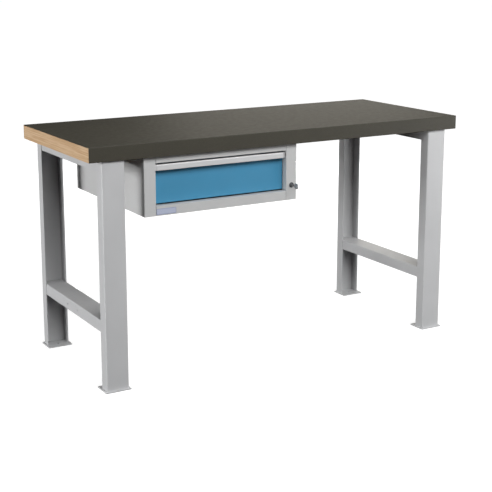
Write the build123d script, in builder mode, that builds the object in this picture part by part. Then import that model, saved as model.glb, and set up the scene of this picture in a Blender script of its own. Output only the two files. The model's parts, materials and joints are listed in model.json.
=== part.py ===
from build123d import *
import os

# Workbench with one hanging drawer unit, built from separate named pieces.
# Millimetres, +Z up. X runs along the bench, Y from the front to the rear, and the origin is
# on the floor under the middle of the worktop.

os.makedirs("parts", exist_ok=True)

# Worktop: a wooden core, a laminate on top, and an edge band along the front and the rear.
bench_length = 1500
bench_depth = 600
bench_height = 830
laminate = 2
core_thickness = 48
half_length = bench_length / 2
half_depth = bench_depth / 2
core_half_depth = half_depth - laminate
underside = bench_height - laminate - core_thickness

# Side frames: channel uprights, foot plates, a lower stretcher and a top bar on each side.
frame_sheet = 2
upright_x = 665
upright_width = 80
upright_flange = 41
upright_face_y = 292
bend_outside = 3.5
bend_inside = 1.5
plate_thickness = 4
plate_width = 92
plate_depth = 74
plate_overhang = 8
plate_corner = 3
anchor_hole_r = 5.5
anchor_hole_y = 255
bar_width = upright_width - 2 * frame_sheet
bar_height = 40
bar_half_length = upright_face_y - frame_sheet - bend_inside
stretcher_bottom = 200
accessory_hole_r = 3
accessory_hole_y = 44

# Wood screws that hold the worktop on the top bars.
screw_rows_y = (-200, 0, 200)
screw_r = 3
screw_depth = 30
screw_head_flats = 13
screw_head = 5.5
washer_r = 9
washer = 1.5
fit_gap = 0.05

# Drawer case, hung under the worktop left of the middle.
sheet = 1.5
case_left = -552
case_width = 592
case_right = case_left + case_width
case_middle = case_left + case_width / 2
case_front = -284
case_rear = 297
case_bottom_z = 579
stile = 42
stile_return = 24
top_rail = 23
bottom_rail = 33
edge_bend = 1.2
opening_left = case_left + stile
opening_right = case_right - stile
opening_bottom = case_bottom_z + bottom_rail
opening_top = underside - top_rail
seam = 1
face_plane = case_front + stile_return
unit_screw_x = 217
unit_screw_y = 200
unit_screw_r = 2.5
unit_screw_head_r = 5
unit_screw_head = 3
unit_screw_depth = 22

# Telescopic runners. u is the distance from the face of the runner's support.
runner_z = 669
runner_front = -238
runner_rear = 262
runner_gap = 12.7
runner_sheet = 1.2
outer_half = 22.75
outer_lip = 10
mid_u = 3.2
mid_lip = 11
mid_half = 19.4
inner_lip_u = 6.4
inner_half = 16
mid_front = -236
mid_rear = 244
inner_front = -237
inner_rear = 253
support_half = 26.5
support_foot = 12
support_half_length = 258
support_middle_y = 12
cage_strip = 0.7
cage_length = 236
cage_balls = 10
ball_pitch = 25
cage_front = -116
ball_gap = 0.3
runner_screw_reach = 180
runner_screws_y = (support_middle_y - runner_screw_reach, support_middle_y + runner_screw_reach)
runner_screw_r = 1.9
runner_head_r = 3
runner_head = 1.5
case_screw_end = 4
drawer_screw_end = 1.6
stop_front = 255
stop_u = 10.5
stop_half = 12

# Drawer box and its double-skinned front.
box_sheet = 1.2
box_left = opening_left + runner_gap
box_right = opening_right - runner_gap
box_bottom = 621
box_top = 729
box_rear = 262
box_front_top = 737
hem = 8
front_gap = 1.2
panel_left = opening_left + front_gap
panel_right = opening_right - front_gap
panel_bottom = 616
panel_top = 750.5
panel_depth = 18
panel_rear = face_plane + panel_depth
panel_lip = 14
panel_screw_z = (637, 712)
panel_screw_r = 1.9
panel_screw_end = 8
panel_head_r = 3.5
panel_head = 1.5

# Grip along the top of the drawer front.
grip_front = -281
grip_sheet = 2
grip_bottom = 730.5
grip_clearance = 5
grip_left = panel_left
grip_right = opening_right - grip_clearance
grip_bend = 3.5
cap_width = 7
grip_screw_z = 740
grip_screw_x = (-187, -62, 62, 187)
grip_screw_r = 1.6
grip_head_r = 3.2
grip_head = 1.5

# Cam lock in the right stile, with its key.
lock_x = 20
lock_z = 632
bezel_r = 9.5
bezel = 2
barrel_r = 8
barrel_rear = -266
plug_r = 6
plug_front = case_front - bezel - 0.5
nut_flats = 22
nut = 4
cam_front = -257.5
cam = 2.5
cam_hub_r = 7
cam_tip_r = 4.5
cam_reach = 28.5
tang = 6
cam_screw_r = 1.5
cam_screw_depth = 8
cam_head_r = 4.5
cam_head = 2.5
cam_slot_top = 641
cam_slot_front = -258.5
cam_slot_rear = -253.5
cam_slot_width = 9
key_thickness = 2
key_blade = 7
key_slot_gap = 0.1
key_slot_depth = 24
key_shank_front = -306
key_bow_front = -326
key_bow = 20
key_hole_r = 2.5
key_notch = 1.5

# Blank label plate on the bottom rail.
label_left = -509
label_width = 73
label_bottom = 583
label_height = 20
label_thickness = 0.5


def span(x0, x1, y0, y1, mode=Mode.ADD):
    """A rectangle between two corners, in the current sketch."""
    with Locations(((x0 + x1) / 2, (y0 + y1) / 2)):
        Rectangle(abs(x1 - x0), abs(y1 - y0), mode=mode)


def front_plane(x, y, z):
    """A plane that faces the front: its own x is +X, its own y is +Z."""
    return Plane(origin=(x, y, z), x_dir=(1, 0, 0), z_dir=(0, -1, 0))


def save(piece, name):
    """Label a finished piece and write its STEP file."""
    piece.part.label = name
    export_step(piece.part, f"parts/{name}.step")


# ---------------------------------------------------------------- worktop

top_screw_points = [(side * upright_x, y) for side in (-1, 1) for y in screw_rows_y]
unit_screw_points = [
    (case_middle + side * unit_screw_x, y) for side in (-1, 1) for y in (-unit_screw_y, unit_screw_y)
]


def make_worktop_core():
    """The wooden core, with pilot holes in its underside."""
    with BuildPart() as core:
        with BuildSketch(Plane.XY.offset(underside)):
            span(-half_length, half_length, -core_half_depth, core_half_depth)
        extrude(amount=core_thickness)
        with BuildSketch(Plane.XY.offset(underside)):
            with Locations(*top_screw_points):
                Circle(screw_r + fit_gap)
        extrude(amount=screw_depth + 2, mode=Mode.SUBTRACT)
        with BuildSketch(Plane.XY.offset(underside)):
            with Locations(*unit_screw_points):
                Circle(unit_screw_r + fit_gap)
        extrude(amount=unit_screw_depth + 2, mode=Mode.SUBTRACT)
    save(core, "worktop_core")


def make_worktop_laminate():
    """The top sheet, with its two long edges eased."""
    with BuildPart() as top:
        with BuildSketch(Plane.XY.offset(bench_height - laminate)):
            span(-half_length, half_length, -half_depth, half_depth)
        extrude(amount=laminate)
        long_edges = top.edges().filter_by(Axis.X).group_by(Axis.Z)[-1]
        fillet(long_edges, radius=1.5)
    save(top, "worktop_laminate")


def make_edge_band(name, side):
    """A band on one long edge of the core. side is -1 at the front and 1 at the rear."""
    with BuildPart() as band:
        with BuildSketch(Plane.YZ.offset(-half_length)):
            span(side * core_half_depth, side * half_depth, underside, bench_height - laminate)
        extrude(amount=bench_length)
        outer_edges = band.edges().filter_by(Axis.X).group_by(Axis.Z)[0].sort_by(Axis.Y)
        fillet(outer_edges[0 if side < 0 else -1], radius=1)
    save(band, name)


# ---------------------------------------------------------------- side frames

def frame_plane(side, end, z):
    """Plane on an upright's outer face. Its own y points inward from that face.

    side is -1 at the left and 1 at the right, end is -1 at the front and 1 at the rear.
    """
    return Plane(
        origin=(side * upright_x, end * upright_face_y, z), x_dir=(-end, 0, 0), z_dir=(0, 0, 1)
    )


def make_upright(name, side, end):
    """A folded channel that stands on its foot plate, open towards the bench's middle."""
    half = upright_width / 2
    with BuildPart() as upright:
        with BuildSketch(frame_plane(side, end, plate_thickness)) as profile:
            span(-half, half, 0, upright_flange)
            span(-half + frame_sheet, half - frame_sheet, frame_sheet, upright_flange, Mode.SUBTRACT)
            fillet(profile.vertices().group_by(Axis.Y)[1], radius=bend_inside)
            fillet(profile.vertices().group_by(Axis.Y)[0], radius=bend_outside)
        extrude(amount=underside - plate_thickness)
    save(upright, name)


def make_foot_plate(name, side, end):
    """A thin plate with one floor anchor hole behind the upright's web."""
    half = plate_width / 2
    with BuildPart() as plate:
        with BuildSketch(frame_plane(side, end, 0)) as profile:
            span(-half, half, -plate_overhang, plate_depth - plate_overhang)
            fillet(profile.vertices(), radius=plate_corner)
            with Locations((0, upright_face_y - anchor_hole_y)):
                Circle(anchor_hole_r, mode=Mode.SUBTRACT)
        extrude(amount=plate_thickness)
        fillet(plate.edges().group_by(Axis.Z)[-1].filter_by(GeomType.LINE), radius=0.6)
    save(plate, name)


def make_bar(name, side, bottom, outer_holes=(), web_holes=()):
    """An inverted channel between the two uprights of one side frame."""
    half = bar_width / 2
    with BuildPart() as bar:
        with BuildSketch(front_plane(side * upright_x, bar_half_length, bottom)) as profile:
            span(-half, half, 0, bar_height)
            span(-half + frame_sheet, half - frame_sheet, 0, bar_height - frame_sheet, Mode.SUBTRACT)
            fillet(profile.vertices().group_by(Axis.Y)[-2], radius=bend_inside)
            fillet(profile.vertices().group_by(Axis.Y)[-1], radius=bend_outside)
        extrude(amount=2 * bar_half_length)
        if outer_holes:
            with BuildSketch(Plane.YZ.offset(side * (upright_x + half))):
                with Locations(*[(y, bottom + bar_height / 2) for y in outer_holes]):
                    Circle(accessory_hole_r)
            extrude(amount=-side * 2 * frame_sheet, mode=Mode.SUBTRACT)
        if web_holes:
            with BuildSketch(Plane.XY.offset(bottom + bar_height)):
                with Locations(*[(side * upright_x, y) for y in web_holes]):
                    Circle(screw_r + 0.5)
            extrude(amount=-2 * frame_sheet, mode=Mode.SUBTRACT)
    save(bar, name)


def make_worktop_screws():
    """Hexagon-head wood screws, up through the top bars into the core."""
    head_top = underside - frame_sheet - washer
    with BuildPart() as screws:
        with BuildSketch(Plane.XY.offset(head_top)):
            with Locations(*top_screw_points):
                RegularPolygon(screw_head_flats / 2, 6, major_radius=False)
        extrude(amount=-screw_head)
        chamfer(screws.edges().group_by(Axis.Z)[0], length=0.5)
        with BuildSketch(Plane.XY.offset(head_top)):
            with Locations(*top_screw_points):
                Circle(screw_r)
        extrude(amount=washer + frame_sheet + screw_depth)
    save(screws, "worktop_screws")
    with BuildPart() as washers:
        with BuildSketch(Plane.XY.offset(head_top)):
            with Locations(*top_screw_points):
                Circle(washer_r)
                Circle(screw_r + fit_gap, mode=Mode.SUBTRACT)
        extrude(amount=washer)
    save(washers, "worktop_washers")


# ---------------------------------------------------------------- drawer case

def make_case_side(name, side):
    """A side wall, folded round the front into a stile with an inner return.

    side is -1 for the left wall and 1 for the right wall, which carries the lock.
    """
    wall = case_middle + side * case_width / 2
    inner = wall - side * stile
    with BuildPart() as wall_part:
        with BuildSketch(Plane.XY.offset(case_bottom_z)) as profile:
            span(wall, wall - side * sheet, case_front, case_rear)
            span(wall, inner, case_front, case_front + sheet)
            span(inner, inner + side * sheet, case_front, face_plane)
            fillet(profile.vertices().group_by(Axis.Y)[0], radius=edge_bend)
        extrude(amount=underside - case_bottom_z)
        if side > 0:
            with BuildSketch(front_plane(lock_x, case_front + 2 * sheet, lock_z)):
                Circle(barrel_r + fit_gap)
            extrude(amount=4 * sheet, mode=Mode.SUBTRACT)
    save(wall_part, name)


def make_case_deck(name, z0, rail_z0, rail_z1, return_z0, holes=()):
    """The case's bottom or top sheet, with its front rail and the rail's return."""
    with BuildPart() as deck:
        with BuildSketch(Plane.XY.offset(z0)):
            span(case_left + sheet, case_right - sheet, case_front + sheet, case_rear - sheet)
            span(opening_left - sheet, opening_left, case_front + sheet, face_plane, Mode.SUBTRACT)
            span(opening_right, opening_right + sheet, case_front + sheet, face_plane, Mode.SUBTRACT)
        extrude(amount=sheet)
        with BuildSketch(Plane.YZ.offset(opening_left + seam)):
            span(case_front, case_front + sheet, rail_z0, rail_z1)
            span(case_front, face_plane, return_z0, return_z0 + sheet)
        extrude(amount=opening_right - opening_left - 2 * seam)
        if holes:
            with BuildSketch(Plane.XY.offset(z0)):
                with Locations(*holes):
                    Circle(unit_screw_r + fit_gap)
            extrude(amount=sheet, mode=Mode.SUBTRACT)
    save(deck, name)


def make_case_back():
    """The rear sheet between the side walls."""
    with BuildPart() as back:
        with BuildSketch(front_plane(0, case_rear, 0)):
            span(case_left + sheet, case_right - sheet, case_bottom_z, underside)
        extrude(amount=sheet)
    save(back, "case_back")


def make_unit_screws():
    """Pan-head wood screws that hang the case from the worktop."""
    head_top = underside - sheet
    with BuildPart() as screws:
        with BuildSketch(Plane.XY.offset(head_top)):
            with Locations(*unit_screw_points):
                Circle(unit_screw_head_r)
        extrude(amount=-unit_screw_head)
        fillet(screws.edges().group_by(Axis.Z)[0], radius=1.5)
        with BuildSketch(Plane.XY.offset(head_top)):
            with Locations(*unit_screw_points):
                Circle(unit_screw_r)
        extrude(amount=sheet + unit_screw_depth)
    save(screws, "unit_screws")


def make_label_plate():
    """A blank plate on the left of the bottom rail."""
    with BuildPart() as plate:
        with BuildSketch(front_plane(0, case_front, 0)) as outline:
            span(label_left, label_left + label_width, label_bottom, label_bottom + label_height)
            fillet(outline.vertices(), radius=2)
        extrude(amount=label_thickness)
    save(plate, "label_plate")


# ---------------------------------------------------------------- runners

def runner_x(side, u):
    """X of a point at distance u from the runner support. side is -1 left, 1 right."""
    return opening_left + u if side < 0 else opening_right - u


def make_runner_support(name, side):
    """A hat-section rail between the case wall and the runner."""
    wall_u = sheet - stile
    with BuildPart() as support:
        with BuildSketch(front_plane(0, support_middle_y + support_half_length, runner_z)):
            span(runner_x(side, 0), runner_x(side, -sheet), -support_half, support_half)
            for end in (-1, 1):
                edge = end * support_half
                span(runner_x(side, 0), runner_x(side, wall_u), edge, edge - end * sheet)
                foot = edge + end * support_foot
                span(runner_x(side, wall_u), runner_x(side, wall_u + sheet), edge - end * sheet, foot)
        extrude(amount=2 * support_half_length)
        with BuildSketch(Plane.YZ.offset(runner_x(side, 0))):
            with Locations(*[(y, runner_z) for y in runner_screws_y]):
                Circle(runner_screw_r + fit_gap)
        extrude(amount=side * 2 * sheet, mode=Mode.SUBTRACT)
    save(support, name)


def make_runner_member(name, side, web_u, lip_u, half, front, rear, holes=False):
    """One member of a runner: a web with two lips, along the whole length."""
    back_u = web_u + runner_sheet if lip_u > web_u else web_u - runner_sheet
    with BuildPart() as member:
        with BuildSketch(front_plane(0, rear, runner_z)) as profile:
            span(runner_x(side, web_u), runner_x(side, back_u), -half, half)
            for end in (-1, 1):
                edge = end * half
                span(runner_x(side, web_u), runner_x(side, lip_u), edge, edge - end * runner_sheet)
        extrude(amount=rear - front)
        if holes:
            low_u = min(web_u, back_u)
            with BuildSketch(Plane.YZ.offset(runner_x(side, low_u))):
                with Locations(*[(y, runner_z) for y in runner_screws_y]):
                    Circle(runner_screw_r + fit_gap)
            extrude(amount=-side * runner_sheet, mode=Mode.SUBTRACT)
    save(member, name)


def make_cage(name, side, low_z, high_z, low_u, high_u):
    """Two flat strips, above and below, each with a row of balls set in it."""
    middle_z = (low_z + high_z) / 2
    ball_r = (high_z - low_z) / 2 - ball_gap
    middle_u = (low_u + high_u) / 2
    first_ball = cage_front + (cage_length - ball_pitch * (cage_balls - 1)) / 2
    with BuildPart() as cage:
        for end in (-1, 1):
            z = end * middle_z
            with BuildSketch(front_plane(0, cage_front + cage_length, runner_z)):
                span(
                    runner_x(side, low_u), runner_x(side, high_u), z - cage_strip / 2, z + cage_strip / 2
                )
            extrude(amount=cage_length)
        for end in (-1, 1):
            for ball in range(cage_balls):
                y = first_ball + ball * ball_pitch
                with Locations((runner_x(side, middle_u), y, runner_z + end * middle_z)):
                    Sphere(ball_r)
    save(cage, name)


def make_runner_stop(name, side):
    """A rubber block at the closed runner's rear end."""
    with BuildPart() as stop:
        with BuildSketch(front_plane(0, runner_rear, runner_z)) as outline:
            span(runner_x(side, runner_sheet), runner_x(side, stop_u), -stop_half, stop_half)
            fillet(outline.vertices(), radius=1.5)
        extrude(amount=runner_rear - stop_front)
    save(stop, name)


def make_runner_screws(name, head_u, end_u):
    """Pan-head screws for both runners. The head is on the runner's side of the sheet."""
    with BuildPart() as screws:
        for side in (-1, 1):
            inward = -side if head_u > end_u else side
            for y in runner_screws_y:
                with BuildSketch(Plane.YZ.offset(runner_x(side, head_u))):
                    with Locations((y, runner_z)):
                        Circle(runner_head_r)
                extrude(amount=inward * runner_head)
                with BuildSketch(Plane.YZ.offset(runner_x(side, head_u))):
                    with Locations((y, runner_z)):
                        Circle(runner_screw_r)
                extrude(amount=-inward * abs(end_u - head_u))
    save(screws, name)


def make_runners():
    """Both telescopic runners, from the case outwards to the drawer."""
    for side, word in ((-1, "left"), (1, "right")):
        make_runner_support(f"runner_support_{word}", side)
        make_runner_member(
            f"runner_outer_{word}", side, 0, outer_lip, outer_half, runner_front, runner_rear, True
        )
        make_cage(
            f"runner_outer_cage_{word}", side, mid_half, outer_half - runner_sheet, 4, 9
        )
        make_runner_member(
            f"runner_mid_{word}", side, mid_u, mid_lip, mid_half, mid_front, mid_rear
        )
        make_cage(
            f"runner_inner_cage_{word}", side, inner_half, mid_half - runner_sheet, 6.8, 10.8
        )
        make_runner_member(
            f"runner_inner_{word}",
            side,
            runner_gap,
            inner_lip_u,
            inner_half,
            inner_front,
            inner_rear,
            True,
        )
        make_runner_stop(f"runner_stop_{word}", side)
    make_runner_screws("runner_case_screws", runner_sheet, -case_screw_end)
    make_runner_screws(
        "runner_drawer_screws", runner_gap - runner_sheet, runner_gap + box_sheet + drawer_screw_end
    )


# ---------------------------------------------------------------- drawer

def make_drawer_side(name, side):
    """A side wall of the box with a hem folded inward along its top."""
    outer = box_left if side < 0 else box_right
    front = panel_rear + box_sheet
    with BuildPart() as wall:
        with BuildSketch(front_plane(0, box_rear, 0)):
            span(outer, outer - side * box_sheet, box_bottom, box_top)
            span(outer, outer - side * hem, box_top - box_sheet, box_top)
        extrude(amount=box_rear - front)
        with BuildSketch(Plane.YZ.offset(outer)):
            with Locations(*[(y, runner_z) for y in runner_screws_y]):
                Circle(runner_screw_r + fit_gap)
        extrude(amount=-side * box_sheet, mode=Mode.SUBTRACT)
    save(wall, name)


def make_drawer_bottom():
    """The box's bottom sheet, between its sides."""
    with BuildPart() as bottom:
        with BuildSketch(Plane.XY.offset(box_bottom)):
            span(
                box_left + box_sheet,
                box_right - box_sheet,
                panel_rear + box_sheet,
                box_rear - box_sheet,
            )
        extrude(amount=box_sheet)
    save(bottom, "drawer_bottom")


def make_drawer_back():
    """The box's rear sheet, between its sides and under their hems."""
    with BuildPart() as back:
        with BuildSketch(front_plane(0, box_rear, 0)):
            span(box_left + box_sheet, box_right - box_sheet, box_bottom, box_top - box_sheet)
        extrude(amount=box_sheet)
    save(back, "drawer_back")


panel_middle = (panel_left + panel_right) / 2
panel_screw_points = [
    (x, z) for x in (panel_left + panel_lip / 2, panel_right - panel_lip / 2) for z in panel_screw_z
]
grip_screw_points = [(panel_middle + x, grip_screw_z) for x in grip_screw_x]


def make_drawer_box_front():
    """The inner skin of the drawer front, which closes the tray of the outer skin."""
    with BuildPart() as skin:
        with BuildSketch(front_plane(0, panel_rear + box_sheet, 0)):
            span(panel_left, panel_right, panel_bottom, box_front_top)
            with Locations(*panel_screw_points):
                Circle(panel_screw_r + fit_gap, mode=Mode.SUBTRACT)
        extrude(amount=box_sheet)
    save(skin, "drawer_box_front")


def make_drawer_front_panel():
    """The outer skin: a tray with a lip along each end.

    A slot round its lower right corner lets the lock's cam swing in behind the face.
    """
    with BuildPart() as tray:
        with BuildSketch(front_plane(0, panel_rear, 0)):
            span(panel_left, panel_right, panel_bottom, panel_top)
        extrude(amount=panel_depth)
        rim = tray.edges().group_by(Axis.Y)[0]
        fillet(rim, radius=edge_bend)
        with BuildSketch(front_plane(0, panel_rear - sheet, 0)):
            span(panel_left + sheet, panel_right - sheet, panel_bottom + sheet, panel_top - sheet)
        extrude(amount=panel_depth - 2 * sheet, mode=Mode.SUBTRACT)
        with BuildSketch(front_plane(0, panel_rear, 0)):
            span(panel_left + panel_lip, panel_right - panel_lip, panel_bottom + sheet, panel_top - sheet)
            with Locations(*panel_screw_points):
                Circle(panel_screw_r + fit_gap)
        extrude(amount=sheet, mode=Mode.SUBTRACT)
        with BuildSketch(Plane.YZ.offset(panel_right)):
            span(cam_slot_front, cam_slot_rear, panel_bottom, cam_slot_top)
        extrude(amount=-sheet, mode=Mode.SUBTRACT)
        with BuildSketch(Plane.XY.offset(panel_bottom)):
            span(panel_right - cam_slot_width, panel_right, cam_slot_front, cam_slot_rear)
        extrude(amount=sheet, mode=Mode.SUBTRACT)
        with BuildSketch(front_plane(0, face_plane + sheet, 0)):
            with Locations(*grip_screw_points):
                Circle(grip_screw_r + fit_gap)
        extrude(amount=sheet, mode=Mode.SUBTRACT)
    save(tray, "drawer_front_panel")


def make_handle_grip():
    """An extrusion hooked over the front: a lip in front, a web on top and a back flange."""
    with BuildPart() as grip:
        with BuildSketch(Plane.YZ.offset(grip_left + cap_width)) as profile:
            span(grip_front, face_plane, grip_bottom, panel_top)
            span(
                grip_front + grip_sheet,
                face_plane - grip_sheet,
                grip_bottom,
                panel_top - grip_sheet,
                Mode.SUBTRACT,
            )
            fillet(profile.vertices().group_by(Axis.Y)[0].sort_by(Axis.X)[0], radius=0.8)
            fillet(profile.vertices().group_by(Axis.Y)[-1].sort_by(Axis.X)[0], radius=grip_bend)
        extrude(amount=grip_right - grip_left - 2 * cap_width)
        with BuildSketch(front_plane(0, face_plane, 0)):
            with Locations(*grip_screw_points):
                Circle(grip_screw_r + fit_gap)
        extrude(amount=grip_sheet, mode=Mode.SUBTRACT)
    save(grip, "handle_grip")


def make_handle_cap(name, x0):
    """A moulded end for the grip, with the whole of the grip's outline."""
    with BuildPart() as cap:
        with BuildSketch(Plane.YZ.offset(x0)) as profile:
            span(grip_front, face_plane, grip_bottom, panel_top)
            fillet(profile.vertices().group_by(Axis.Y)[0].sort_by(Axis.X)[0], radius=2)
            fillet(profile.vertices().group_by(Axis.Y)[-1].sort_by(Axis.X)[0], radius=grip_bend)
        extrude(amount=cap_width)
    save(cap, name)


def make_drawer_screws(name, points, head_y, shank_r, head_r, head, grip_length):
    """Pan-head screws with their heads behind the sheet at head_y and their shanks forward."""
    with BuildPart() as screws:
        with BuildSketch(front_plane(0, head_y + head, 0)):
            with Locations(*points):
                Circle(head_r)
        extrude(amount=head)
        fillet(screws.edges().group_by(Axis.Y)[-1], radius=0.8)
        with BuildSketch(front_plane(0, head_y, 0)):
            with Locations(*points):
                Circle(shank_r)
        extrude(amount=grip_length)
    save(screws, name)


# ---------------------------------------------------------------- lock

def make_lock_housing():
    """The fixed barrel with its bezel, bored for the plug."""
    with BuildPart() as housing:
        with BuildSketch(front_plane(lock_x, barrel_rear, lock_z)):
            Circle(barrel_r)
        extrude(amount=barrel_rear - case_front)
        with BuildSketch(front_plane(lock_x, case_front, lock_z)):
            Circle(bezel_r)
        extrude(amount=bezel)
        fillet(housing.edges().group_by(Axis.Y)[0], radius=1)
        with BuildSketch(front_plane(lock_x, barrel_rear, lock_z)):
            Circle(plug_r + fit_gap)
        extrude(amount=barrel_rear - case_front + bezel, mode=Mode.SUBTRACT)
    save(housing, "lock_housing")


def make_lock_nut():
    """The nut that clamps the housing to the stile from inside."""
    with BuildPart() as lock_nut:
        with BuildSketch(front_plane(lock_x, case_front + sheet + nut, lock_z)):
            RegularPolygon(nut_flats / 2, 6, major_radius=False)
            Circle(barrel_r + fit_gap, mode=Mode.SUBTRACT)
        extrude(amount=nut)
    save(lock_nut, "lock_nut")


def make_lock_plug():
    """The turning plug: keyway at the front, square tang and a screw hole at the rear."""
    half_slot = key_thickness / 2 + key_slot_gap
    with BuildPart() as plug:
        with BuildSketch(front_plane(lock_x, cam_front, lock_z)):
            Circle(plug_r)
        extrude(amount=cam_front - plug_front)
        with BuildSketch(front_plane(lock_x, cam_front + cam, lock_z)):
            Rectangle(tang, tang)
        extrude(amount=cam)
        with BuildSketch(front_plane(lock_x, plug_front + key_slot_depth, lock_z)):
            Rectangle(2 * half_slot, key_blade + 2 * key_slot_gap)
        extrude(amount=key_slot_depth, mode=Mode.SUBTRACT)
        with BuildSketch(front_plane(lock_x, cam_front + cam, lock_z)):
            Circle(cam_screw_r + fit_gap)
        extrude(amount=cam + cam_screw_depth - 1, mode=Mode.SUBTRACT)
    save(plug, "lock_plug")


def make_lock_cam():
    """The cam, hanging down when unlocked. It swings towards the drawer to lock."""
    with BuildPart() as cam_part:
        with BuildSketch(front_plane(lock_x, cam_front + cam, lock_z)):
            Circle(cam_hub_r)
            with Locations((0, -cam_reach)):
                Circle(cam_tip_r)
            make_hull()
            Rectangle(tang + 2 * fit_gap, tang + 2 * fit_gap, mode=Mode.SUBTRACT)
        extrude(amount=cam)
    save(cam_part, "lock_cam")


def make_cam_screw():
    """The screw that holds the cam on the plug's tang."""
    with BuildPart() as screw:
        with BuildSketch(front_plane(lock_x, cam_front + cam + cam_head, lock_z)):
            Circle(cam_head_r)
        extrude(amount=cam_head)
        fillet(screw.edges().group_by(Axis.Y)[-1], radius=1)
        with BuildSketch(front_plane(lock_x, cam_front + cam, lock_z)):
            Circle(cam_screw_r)
        extrude(amount=cam_screw_depth)
    save(screw, "cam_screw")


def make_key():
    """A flat key with a round-cornered bow and notches along the blade's lower edge."""
    tip_y = plug_front + key_slot_depth - 1
    with BuildPart() as key:
        with BuildSketch(Plane.YZ.offset(lock_x - key_thickness / 2)) as profile:
            span(key_shank_front, tip_y, lock_z - key_blade / 2, lock_z + key_blade / 2)
            fillet(profile.vertices().group_by(Axis.X)[-1], radius=2)
            for step in range(4):
                notch_y = tip_y - 5 - 4 * step
                with Locations((notch_y, lock_z - key_blade / 2)):
                    Circle(key_notch, mode=Mode.SUBTRACT)
        extrude(amount=key_thickness)
        with BuildSketch(Plane.YZ.offset(lock_x - key_thickness / 2)) as bow:
            span(key_bow_front, key_shank_front, lock_z - key_bow / 2, lock_z + key_bow / 2)
            fillet(bow.vertices(), radius=6)
            with Locations((key_bow_front + 5, lock_z)):
                Circle(key_hole_r, mode=Mode.SUBTRACT)
        extrude(amount=key_thickness)
    save(key, "key")


# ---------------------------------------------------------------- build

make_worktop_core()
make_worktop_laminate()
make_edge_band("front_edge_band", -1)
make_edge_band("rear_edge_band", 1)

for side, side_word in ((-1, "left"), (1, "right")):
    for end, end_word in ((-1, "front"), (1, "rear")):
        make_upright(f"upright_{end_word}_{side_word}", side, end)
        make_foot_plate(f"foot_plate_{end_word}_{side_word}", side, end)
    make_bar(
        f"stretcher_{side_word}",
        side,
        stretcher_bottom,
        outer_holes=(-accessory_hole_y, accessory_hole_y),
    )
    make_bar(f"top_bar_{side_word}", side, underside - bar_height, web_holes=screw_rows_y)
make_worktop_screws()

make_case_side("case_left_side", -1)
make_case_side("case_right_side", 1)
make_case_deck(
    "case_bottom", case_bottom_z, case_bottom_z, opening_bottom, opening_bottom - sheet
)
make_case_deck(
    "case_top", underside - sheet, opening_top, underside, opening_top, unit_screw_points
)
make_case_back()
make_unit_screws()
make_label_plate()

make_runners()

make_drawer_side("drawer_left_side", -1)
make_drawer_side("drawer_right_side", 1)
make_drawer_bottom()
make_drawer_back()
make_drawer_box_front()
make_drawer_front_panel()
make_handle_grip()
make_handle_cap("handle_cap_left", grip_left)
make_handle_cap("handle_cap_right", grip_right - cap_width)
make_drawer_screws(
    "handle_screws",
    grip_screw_points,
    face_plane + sheet,
    grip_screw_r,
    grip_head_r,
    grip_head,
    sheet + grip_sheet,
)
make_drawer_screws(
    "front_panel_screws",
    panel_screw_points,
    panel_rear + box_sheet,
    panel_screw_r,
    panel_head_r,
    panel_head,
    panel_screw_end,
)

make_lock_housing()
make_lock_nut()
make_lock_plug()
make_lock_cam()
make_cam_screw()
make_key()
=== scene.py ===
import json
import math

import bpy
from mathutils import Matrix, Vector


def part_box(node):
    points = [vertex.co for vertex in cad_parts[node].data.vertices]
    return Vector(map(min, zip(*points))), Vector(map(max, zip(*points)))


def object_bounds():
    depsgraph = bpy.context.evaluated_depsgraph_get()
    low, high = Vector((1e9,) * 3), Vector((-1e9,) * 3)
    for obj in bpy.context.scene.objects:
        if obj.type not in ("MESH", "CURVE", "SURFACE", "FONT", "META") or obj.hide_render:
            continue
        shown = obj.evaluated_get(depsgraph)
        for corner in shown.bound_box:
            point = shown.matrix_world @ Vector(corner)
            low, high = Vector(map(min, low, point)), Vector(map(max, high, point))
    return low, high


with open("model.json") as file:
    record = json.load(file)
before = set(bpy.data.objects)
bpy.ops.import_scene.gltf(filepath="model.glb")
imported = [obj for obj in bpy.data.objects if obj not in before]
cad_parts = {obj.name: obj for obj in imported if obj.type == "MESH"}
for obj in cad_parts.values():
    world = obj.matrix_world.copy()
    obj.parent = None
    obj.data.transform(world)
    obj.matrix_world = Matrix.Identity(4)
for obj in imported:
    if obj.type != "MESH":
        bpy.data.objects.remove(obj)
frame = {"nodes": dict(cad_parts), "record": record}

# The bench is all rigid pieces, so every one of them is a CAD node. This script gives each its
# finish, and adds the floor, the lights and the camera. Lengths are in metres.

cad_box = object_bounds()
MM = 0.001

# Camera: seen from the left front, a little above the worktop. The aim is measured from the
# middle of the bench's box, and the shift is a share of the frame's width.
VIEW_AZIMUTH = -30.393
VIEW_ELEVATION = 11.806
VIEW_DISTANCE = 4.296
VIEW_AIM = Vector((0.0054, 0.0207, 0.1228))
LENS = 83.68
SENSOR = 36.0
SHIFT_DOWN = -0.1
FAR_CLIP = 200.0

# Floor: it lies a hair under the foot plates, so the two never share a plane. It glows white
# away from the bench and glows less near it, a painted shade round the bench.
FLOOR_Z = -0.3 * MM
FLOOR_HALF = 80.0
FLOOR_TONES = (0.29, 0.31)
GLOW_DISTANCES = (1.0, 4.0)
GLOW_STRENGTHS = (0.86, 1.0)

# Room light: colour of the lower and the upper part of the room, and where the ramp has them.
ROOM_LOW = (0.015, 0.015, 0.016, 1)
ROOM_HIGH = (0.03, 0.03, 0.03, 1)
ROOM_LOW_AT = 0.3
ROOM_HIGH_AT = 0.85

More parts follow.
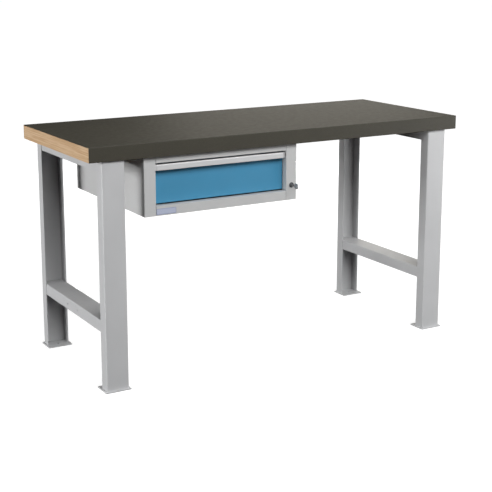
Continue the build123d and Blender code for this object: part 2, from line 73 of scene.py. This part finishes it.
# Soft boxes: name, place, width and height, watts, colour. All of them face the bench's middle.
WHITE = (1.0, 1.0, 1.0)
WARM = (1.0, 0.955, 0.86)
SOFT_BOXES = (
    ("front_wide", (0.35, -4.5, 4.3), (6.4, 2.8), 412, WHITE),
    ("left_box", (-8.0, 0.0, 1.3), (4.0, 2.7), 605, WHITE),
    ("right_low", (2.77, -1.6, 0.7), (1.5, 1.5), 34, WHITE),
    ("right_high", (2.0, 0.2, 2.9), (1.5, 1.5), 5, WHITE),
    ("rear_gloss", (1.9, 2.5, 1.35), (1.8, 1.2), 13, WARM),
    ("rear_low", (1.7, 3.4, 0.1), (1.8, 0.4), 75, WHITE),
    ("top_box", (0.1, 0.5, 3.8), (2.2, 1.4), 20, WHITE),
)

# Most of a noise texture's values lie between these two.
NOISE_LOW = 0.3
NOISE_HIGH = 0.7

# Cosine of the angle between a face's normal and the rounded edge's: edge not yet lightened, edge
# fully lightened (rubbed wear and painted highlight).
FLAT_COSINE = 0.995
EDGE_COSINE = 0.8

# Base colours, linear.
GREY_PAINT = (0.485, 0.488, 0.495)
CASE_GREY = (0.485, 0.487, 0.487)
BLUE_PAINT = (0.056, 0.242, 0.405)
LAMINATE = (0.039, 0.035, 0.023)
BEECH_PALE = (0.565, 0.405, 0.255)
BEECH_TAN = (0.43, 0.27, 0.143)
ALUMINIUM = (0.60, 0.60, 0.605)
GALVANISED = (0.52, 0.53, 0.545)
ZINC = (0.62, 0.63, 0.65)
LOCK_NICKEL = (0.19, 0.2, 0.21)
KEY_NICKEL = (0.30, 0.305, 0.31)
CAP_PLASTIC = (0.46, 0.46, 0.465)
RUBBER = (0.018, 0.018, 0.019)
LABEL_FIELD = (0.42, 0.455, 0.57)
LABEL_BORDER = (0.22, 0.26, 0.40)

# Width of the border round the label.
LABEL_INSET = 1.6 * MM


# ---------------------------------------------------------------- node helpers

def shade(colour, factor):
    """The same colour, darker or lighter."""
    return tuple(channel * factor for channel in colour)


class Finish:
    """A material being built: a Principled shader and short ways to add nodes before it."""

    def __init__(self, name):
        self.material = bpy.data.materials.new(name)
        self.material.use_nodes = True
        self.tree = self.material.node_tree
        self.shader = self.tree.nodes["Principled BSDF"]
        self.object_space = self.add("ShaderNodeTexCoord").outputs["Object"]

    def add(self, kind, **settings):
        node = self.tree.nodes.new(kind)
        for key, value in settings.items():
            setattr(node, key, value)
        return node

    def feed(self, socket, value):
        """Link a socket or set a plain value."""
        if isinstance(value, bpy.types.NodeSocket):
            self.tree.links.new(value, socket)
        else:
            socket.default_value = value

    def stretched(self, stretch):
        """Object coordinates multiplied by a factor for each axis."""
        node = self.add("ShaderNodeMapping")
        node.inputs["Scale"].default_value = stretch
        self.feed(node.inputs["Vector"], self.object_space)
        return node.outputs["Vector"]

    def noise(self, scale, detail=2.0, rough=0.5, stretch=(1, 1, 1)):
        node = self.add("ShaderNodeTexNoise")
        self.feed(node.inputs["Vector"], self.stretched(stretch))
        node.inputs["Scale"].default_value = scale
        node.inputs["Detail"].default_value = detail
        node.inputs["Roughness"].default_value = rough
        return node.outputs["Fac"]

    def cells(self, scale, output="Distance"):
        node = self.add("ShaderNodeTexVoronoi")
        self.feed(node.inputs["Vector"], self.object_space)
        node.inputs["Scale"].default_value = scale
        return node.outputs[output]

    def bands(self, scale, distortion):
        """Level bands, stacked along Z."""
        node = self.add("ShaderNodeTexWave", wave_type="BANDS", bands_direction="Z")
        self.feed(node.inputs["Vector"], self.object_space)
        node.inputs["Scale"].default_value = scale
        node.inputs["Distortion"].default_value = distortion
        node.inputs["Detail"].default_value = 1
        return node.outputs["Fac"]

    def remap(self, value, low=NOISE_LOW, high=NOISE_HIGH, to_low=0.0, to_high=1.0):
        node = self.add("ShaderNodeMapRange")
        for socket, number in zip(node.inputs[:5], (value, low, high, to_low, to_high)):
            self.feed(socket, number)
        return node.outputs["Result"]

    def math(self, operation, a, b=0.0):
        node = self.add("ShaderNodeMath", operation=operation)
        self.feed(node.inputs[0], a)
        self.feed(node.inputs[1], b)
        return node.outputs[0]

    def blend(self, share, a, b):
        """Mix two colours. Each is a socket or three numbers."""
        node = self.add("ShaderNodeMix", data_type="RGBA")
        self.feed(node.inputs["Factor"], share)
        for socket, value in ((node.inputs[6], a), (node.inputs[7], b)):
            self.feed(socket, value if isinstance(value, bpy.types.NodeSocket) else (*value, 1.0))
        return node.outputs[2]

    def tones(self, value, colour, dark, light, low=NOISE_LOW, high=NOISE_HIGH):
        """A colour that goes from a darker to a lighter shade of itself with a value."""
        return self.blend(self.remap(value, low, high), shade(colour, dark), shade(colour, light))

    def spots(self, value, low, high, share, base, colour):
        """Lay a colour over the base, up to a share, where a value passes from low to high."""
        return self.blend(self.remap(value, low, high, 0.0, share), base, colour)

    def wear_and_highlight_edges(self, base, radius, share, colour):
        """Lay a lighter colour over the edges, partly rubbed wear and partly a painted highlight.
        Gives the new base, and the normal rounded at edges.
        """
        bevel = self.add("ShaderNodeBevel", samples=4)
        bevel.inputs["Radius"].default_value = radius
        plain = self.add("ShaderNodeNewGeometry").outputs["Normal"]
        dot = self.add("ShaderNodeVectorMath", operation="DOT_PRODUCT")
        self.feed(dot.inputs[0], bevel.outputs["Normal"])
        self.feed(dot.inputs[1], plain)
        # The edges get the lighter colour: partly rubbed wear, partly a painted highlight.
        edge = self.remap(dot.outputs["Value"], FLAT_COSINE, EDGE_COSINE)
        return self.blend(self.math("MULTIPLY", edge, share), base, colour), bevel.outputs["Normal"]

    def bump(self, height, strength, distance, normal):
        node = self.add("ShaderNodeBump")
        node.inputs["Strength"].default_value = strength
        node.inputs["Distance"].default_value = distance
        self.feed(node.inputs["Height"], height)
        self.feed(node.inputs["Normal"], normal)
        return node.outputs["Normal"]

    def finish(self, colour, roughness, normal, metallic=0.0):
        self.feed(self.shader.inputs["Base Color"], colour)
        self.feed(self.shader.inputs["Roughness"], roughness)
        self.feed(self.shader.inputs["Normal"], normal)
        self.shader.inputs["Metallic"].default_value = metallic
        return self.material


# ---------------------------------------------------------------- finishes

def powder_coat(name, colour, gloss=0.42, edge_wear_and_sheen=1.12):
    """Baked powder paint: fine orange peel, faint clouding, and lighter edges, partly thin paint
    and partly a painted highlight.
    """
    f = Finish(name)
    base = f.tones(f.noise(scale=7, detail=3), colour, dark=0.965, light=1.03)
    grit = f.noise(scale=1400, detail=1)
    base = f.spots(grit, low=0.6, high=0.75, share=0.35, base=base, colour=shade(colour, 0.86))
    # Lighter edges: partly thin paint, partly a painted highlight.
    base, rounded = f.wear_and_highlight_edges(base, radius=0.9 * MM, share=0.5, colour=shade(colour, edge_wear_and_sheen))
    rough = f.remap(f.noise(scale=45, detail=3), to_low=gloss - 0.05, to_high=gloss + 0.06)
    orange_peel = f.noise(scale=520, detail=1.5)
    peel = f.bump(orange_peel, strength=0.16, distance=0.15 * MM, normal=rounded)
    return f.finish(base, rough, peel)


def dark_laminate(name):
    """Dark brown-grey high-pressure laminate: a fine speckle and a satin, pebbled face."""
    f = Finish(name)
    base = f.tones(f.noise(scale=9, detail=4), LAMINATE, dark=0.88, light=1.1)
    mottle = f.noise(scale=170, detail=3, rough=0.6)
    base = f.blend(f.remap(mottle, low=0.35, high=0.65), shade(LAMINATE, 0.84), base)
    flecks = f.noise(scale=620, detail=2, rough=0.6)
    base = f.spots(flecks, low=0.56, high=0.72, share=0.5, base=base, colour=shade(LAMINATE, 2.1))
    pits = f.cells(scale=520)
    base = f.spots(pits, low=0.22, high=0.05, share=0.45, base=base, colour=shade(LAMINATE, 0.45))
    # Lighter edges: partly rubbed wear, partly a painted highlight.
    base, rounded = f.wear_and_highlight_edges(base, radius=1.2 * MM, share=0.35, colour=shade(LAMINATE, 1.7))
    rough = f.remap(f.noise(scale=60, detail=4), to_low=0.54, to_high=0.62)
    pebbles = f.noise(scale=900, detail=2)
    return f.finish(base, rough, f.bump(pebbles, strength=0.2, distance=0.1 * MM, normal=rounded))


def beech_ply(name):
    """Beech multiplex: thin plies, their streaks along the worktop's depth at its ends."""
    f = Finish(name)
    streaks = f.noise(scale=1.0, detail=6, rough=0.62, stretch=(22, 7, 260))
    base = f.blend(f.remap(streaks, low=0.4, high=0.6), BEECH_TAN, BEECH_PALE)
    plies = f.bands(scale=42, distortion=0.25)
    base = f.spots(plies, low=0.25, high=0.85, share=0.22, base=base, colour=shade(BEECH_TAN, 0.85))
    pores = f.noise(scale=1.0, detail=3, stretch=(60, 900, 1500))
    base = f.spots(pores, low=0.62, high=0.74, share=0.4, base=base, colour=shade(BEECH_TAN, 0.6))
    # Lighter edges: partly rubbed wear, partly a painted highlight.
    base, rounded = f.wear_and_highlight_edges(base, radius=0.8 * MM, share=0.3, colour=shade(BEECH_PALE, 1.1))
    rough = f.remap(streaks, to_low=0.5, to_high=0.62)
    relief = f.math("ADD", streaks, f.math("MULTIPLY", pores, 0.6))
    return f.finish(base, rough, f.bump(relief, strength=0.2, distance=0.12 * MM, normal=rounded))


def brushed_metal(name, colour, roughness, metallic, along=(1, 60, 60)):
    """Drawn or anodised metal with fine lines along its length."""
    f = Finish(name)
    drawn = f.noise(scale=30, detail=4, rough=0.6, stretch=along)
    base = f.tones(drawn, colour, dark=0.93, light=1.05)
    stains = f.noise(scale=18, detail=3)
    base = f.spots(stains, low=0.55, high=0.8, share=0.25, base=base, colour=shade(colour, 0.85))
    # Lighter edges: partly rubbed wear, partly a painted highlight.
    base, rounded = f.wear_and_highlight_edges(base, radius=0.5 * MM, share=0.4, colour=shade(colour, 1.1))
    rough = f.remap(drawn, to_low=roughness[0], to_high=roughness[1])
    lines = f.bump(drawn, strength=0.08, distance=0.08 * MM, normal=rounded)
    return f.finish(base, rough, lines, metallic)


def plated(name, colour, roughness, metallic=0.6):
    """Plated steel with a faint crystalline mottle."""
    f = Finish(name)
    spangle = f.cells(scale=260, output="Color")
    base = f.tones(spangle, colour, dark=0.9, light=1.06, low=0.2, high=0.9)
    stains = f.noise(scale=35, detail=4)
    base = f.spots(stains, low=0.55, high=0.8, share=0.4, base=base, colour=shade(colour, 0.7))
    # Lighter edges: partly rubbed wear, partly a painted highlight.
    base, rounded = f.wear_and_highlight_edges(base, radius=0.35 * MM, share=0.5, colour=shade(colour, 1.15))
    rough = f.remap(stains, to_low=roughness[0], to_high=roughness[1])
    crystals = f.noise(scale=800, detail=2)
    grain = f.bump(crystals, strength=0.08, distance=0.05 * MM, normal=rounded)
    return f.finish(base, rough, grain, metallic)


def moulded(name, colour, roughness, grain=420):
    """Plastic or rubber with a fine moulded grain."""
    f = Finish(name)
    tone = f.noise(scale=60, detail=3)
    base = f.tones(tone, colour, dark=0.85, light=1.15)
    # Lighter edges: partly rubbed wear, partly a painted highlight.
    base, rounded = f.wear_and_highlight_edges(base, radius=0.4 * MM, share=0.4, colour=shade(colour, 1.6))
    rough = f.remap(tone, to_low=roughness[0], to_high=roughness[1])
    pores = f.noise(scale=grain, detail=2)
    return f.finish(base, rough, f.bump(pores, strength=0.3, distance=0.1 * MM, normal=rounded))


def blank_label(name, node):
    """A plain printed plate: a pale blue-grey field inside a slightly darker border."""
    f = Finish(name)
    low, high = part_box(node)
    centre, half = (low + high) / 2, (high - low) / 2
    split = f.add("ShaderNodeSeparateXYZ")
    f.feed(split.inputs[0], f.object_space)
    gaps = []
    for axis, output in ((0, "X"), (2, "Z")):
        away = f.math("ABSOLUTE", f.math("SUBTRACT", split.outputs[output], centre[axis]))
        gaps.append(f.math("GREATER_THAN", away, half[axis] - LABEL_INSET))
    border = f.math("MAXIMUM", gaps[0], gaps[1])
    print_grain = f.noise(scale=500, detail=2)
    base = f.tones(print_grain, LABEL_FIELD, dark=0.95, light=1.05)
    base = f.blend(border, base, LABEL_BORDER)
    rough = f.remap(print_grain, to_low=0.3, to_high=0.38)
    # Lighter edges: partly rubbed wear, partly a painted highlight.
    base, rounded = f.wear_and_highlight_edges(base, radius=0.3 * MM, share=0.4, colour=shade(LABEL_FIELD, 1.15))
    tooth = f.bump(print_grain, strength=0.06, distance=0.03 * MM, normal=rounded)
    return f.finish(base, rough, tooth)


# One finish for each material slot of the record.
FINISHES = {
    "worktop_wood": beech_ply("beech_ply"),
    "worktop_laminate": dark_laminate("dark_laminate"),
    "frame_paint": powder_coat("grey_powder_frame", GREY_PAINT),
    "case_paint": powder_coat("grey_powder_case", CASE_GREY),
    "drawer_paint": powder_coat("grey_powder_drawer", CASE_GREY, gloss=0.46),
    "front_paint": powder_coat("blue_powder", BLUE_PAINT, gloss=0.4, edge_wear_and_sheen=1.3),
    "grip_aluminium": brushed_metal(
        "anodised_aluminium", ALUMINIUM, roughness=(0.4, 0.5), metallic=0.15
    ),
    "cap_plastic": moulded("pale_grey_plastic", CAP_PLASTIC, roughness=(0.42, 0.55)),
    "runner_steel": brushed_metal(
        "galvanised_runner", GALVANISED, roughness=(0.34, 0.46), metallic=0.55, along=(60, 2, 60)
    ),
    "fastener_steel": plated("zinc_fasteners", ZINC, roughness=(0.26, 0.42)),
    "lock_chrome": plated("lock_nickel", LOCK_NICKEL, roughness=(0.18, 0.3)),
    "key_steel": plated("key_nickel", KEY_NICKEL, roughness=(0.2, 0.34)),
    "stop_rubber": moulded("black_rubber", RUBBER, roughness=(0.6, 0.75), grain=300),
    "label_blank": blank_label("blank_label", "label_plate"),
}


def paint_nodes():
    """Give every CAD node the finish of its slot in the record."""
    for row in frame["record"]["subparts"]:
        slots = frame["nodes"][row["node"]].data.materials
        if not slots:
            slots.append(None)
        for index in range(len(slots)):
            slots[index] = FINISHES[row["material_slot"]]


# ---------------------------------------------------------------- stage, light, camera

def link(name, data):
    """Put a new object with this data in the scene."""
    item = bpy.data.objects.new(name, data)
    bpy.context.scene.collection.objects.link(item)
    return item


def floor_material():
    """Pale and matt, with a glow that dims near the bench, a painted shade round it."""
    f = Finish("pale_floor")
    tone = f.remap(f.noise(scale=0.8, detail=2))
    pale, paler = ((value,) * 3 for value in FLOOR_TONES)
    f.feed(f.shader.inputs["Base Color"], f.blend(tone, pale, paler))
    f.shader.inputs["Roughness"].default_value = 0.9
    f.shader.inputs["Specular IOR Level"].default_value = 0.1
    away = f.add("ShaderNodeVectorMath", operation="LENGTH")
    f.feed(away.inputs[0], f.object_space)
    # Weaker glow near the bench: painted shade round it.
    glow = f.remap(away.outputs["Value"], *GLOW_DISTANCES, *GLOW_STRENGTHS)
    f.shader.inputs["Emission Color"].default_value = (1, 1, 1, 1)
    f.feed(f.shader.inputs["Emission Strength"], glow)
    return f.material


def add_floor():
    """A plain pale floor, large enough to fill the view up to the horizon."""
    mesh = bpy.data.meshes.new("floor")
    signs = ((-1, -1), (1, -1), (1, 1), (-1, 1))
    corners = [(x * FLOOR_HALF, y * FLOOR_HALF, FLOOR_Z) for x, y in signs]
    mesh.from_pydata(corners, [], [(0, 1, 2, 3)])
    mesh.materials.append(floor_material())
    floor = link("floor", mesh)
    floor.visible_diffuse = False
    floor.visible_glossy = False


def add_world():
    """Dim room light, a little brighter above. The camera sees white behind the floor's edge."""
    world = bpy.data.worlds.new("studio")
    bpy.context.scene.world = world
    world.use_nodes = True
    tree = world.node_tree
    background = tree.nodes["Background"]
    direction = tree.nodes.new("ShaderNodeTexCoord").outputs["Generated"]
    split = tree.nodes.new("ShaderNodeSeparateXYZ")
    tree.links.new(direction, split.inputs[0])
    height = tree.nodes.new("ShaderNodeMapRange")
    tree.links.new(split.outputs["Z"], height.inputs["Value"])
    height.inputs["From Min"].default_value = -1.0
    ramp = tree.nodes.new("ShaderNodeValToRGB")
    tree.links.new(height.outputs["Result"], ramp.inputs[0])
    stops = ((ROOM_LOW_AT, ROOM_LOW), (ROOM_HIGH_AT, ROOM_HIGH))
    for element, (position, colour) in zip(ramp.color_ramp.elements, stops):
        element.position = position
        element.color = colour
    path = tree.nodes.new("ShaderNodeLightPath")
    pale = tree.nodes.new("ShaderNodeMix")
    pale.data_type = "RGBA"
    tree.links.new(path.outputs["Is Camera Ray"], pale.inputs["Factor"])
    tree.links.new(ramp.outputs["Color"], pale.inputs[6])
    pale.inputs[7].default_value = (1, 1, 1, 1)
    tree.links.new(pale.outputs[2], background.inputs["Color"])


def add_soft_boxes():
    """Strong boxes high in front and off the left end, weak ones at the right, above, behind."""
    low, high = cad_box
    middle = Vector((0, 0, (low.z + high.z) / 2))
    for name, place, size, watts, colour in SOFT_BOXES:
        light = bpy.data.lights.new(name, "AREA")
        light.shape = "RECTANGLE"
        light.size, light.size_y = size
        light.energy = watts
        light.color = colour
        lamp = link(name, light)
        lamp.location = place
        lamp.rotation_euler = (middle - Vector(place)).to_track_quat("-Z", "Y").to_euler()


def add_camera():
    """The view from the left front."""
    low, high = cad_box
    azimuth, elevation = math.radians(VIEW_AZIMUTH), math.radians(VIEW_ELEVATION)
    level = Vector((math.sin(azimuth), -math.cos(azimuth), 0))
    back = level * math.cos(elevation) + Vector((0, 0, math.sin(elevation)))
    data = bpy.data.cameras.new("camera")
    data.lens = LENS
    data.sensor_width = SENSOR
    data.shift_y = SHIFT_DOWN
    data.clip_end = FAR_CLIP
    camera = link("camera", data)
    camera.location = (low + high) / 2 + VIEW_AIM + back * VIEW_DISTANCE
    camera.rotation_euler = (-back).to_track_quat("-Z", "Y").to_euler()
    bpy.context.scene.camera = camera


paint_nodes()
add_floor()
add_world()
add_soft_boxes()
add_camera()
bpy.context.scene.view_settings.view_transform = "Standard"
